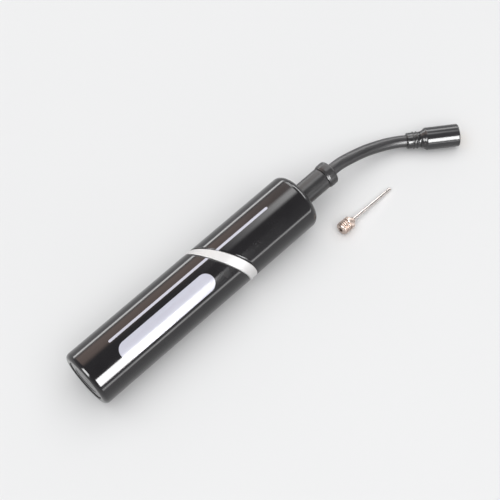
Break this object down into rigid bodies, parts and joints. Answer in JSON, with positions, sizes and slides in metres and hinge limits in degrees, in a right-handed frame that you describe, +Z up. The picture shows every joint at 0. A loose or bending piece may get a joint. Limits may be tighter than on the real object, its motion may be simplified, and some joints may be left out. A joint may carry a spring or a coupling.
{
  "type": "ball inflation pump",
  "caption": "Slim hand pump for inflating sports balls, with a sliding handle sleeve, a slanted silver trim ring, a short flexible hose and a loose ball needle beside it.",
  "frame": {"origin": "point on the floor under the middle of the pump's round body, which lies on its side", "axes": "+X along the pump's axis from the handle end to the hose, +Z up from the floor, +Y across"},
  "size_m": [0.2768, 0.0559, 0.036],
  "materials": {
    "gloss_black": "gloss moulded black plastic, polished",
    "ring_silver": "bright silver plated plastic",
    "dark_grey": "smooth dark grey plastic with a satin shine",
    "hose_rubber": "smooth dark grey rubber, satin",
    "black_rubber": "black seal rubber, matt",
    "aluminium": "drawn tube, satin",
    "steel": "ground steel",
    "brass": "machined",
    "nylon": "natural white nylon",
    "nickel": "nickel plate with a warm tint"
  },
  "bodies": {
    "pump_body": {"head_shell": "gloss_black", "trim_ring": "ring_silver", "barrel_tube": "aluminium", "barrel_support_ring": "nylon", "barrel_guide_cap": "dark_grey", "rod_bush": "nylon", "stroke_bumper": "black_rubber", "valve_body": "dark_grey", "barrel_o_ring": "black_rubber", "check_valve_spring": "steel", "outlet_stem": "dark_grey", "stem_o_ring": "black_rubber", "hose_nipple": "brass", "hose_collar": "dark_grey", "hose": "hose_rubber", "hose_crimp_sleeve": "dark_grey", "connector_body": "dark_grey", "connector_insert": "brass", "connector_gasket": "black_rubber"},
    "handle": {"handle_sleeve": "gloss_black", "handle_end_cap": "gloss_black", "piston_rod": "steel", "rod_pin": "steel", "piston_head": "nylon", "piston_seal": "black_rubber", "piston_screw": "steel"},
    "poppet": {"check_valve_poppet": "nylon"},
    "needle": {"needle_hub": "nickel", "needle_tube": "nickel"}
  },
  "joints": [
    {"name": "handle_slide", "type": "slide", "parent": "pump_body", "child": "handle", "axis": [-1, 0, 0], "range_m": [0, 0.08]},
    {"name": "check_valve_lift", "type": "slide", "parent": "pump_body", "child": "poppet", "axis": [1, 0, 0], "range_m": [0, 0.001], "stiffness_N_per_m": 150, "springref_m": -0.001, "deforming": ["check_valve_spring"]},
    {"name": "needle_lift", "type": "slide", "parent": "pump_body", "child": "needle", "axis": [0, 0, 1], "range_m": [0, 0.06]}
  ]
}
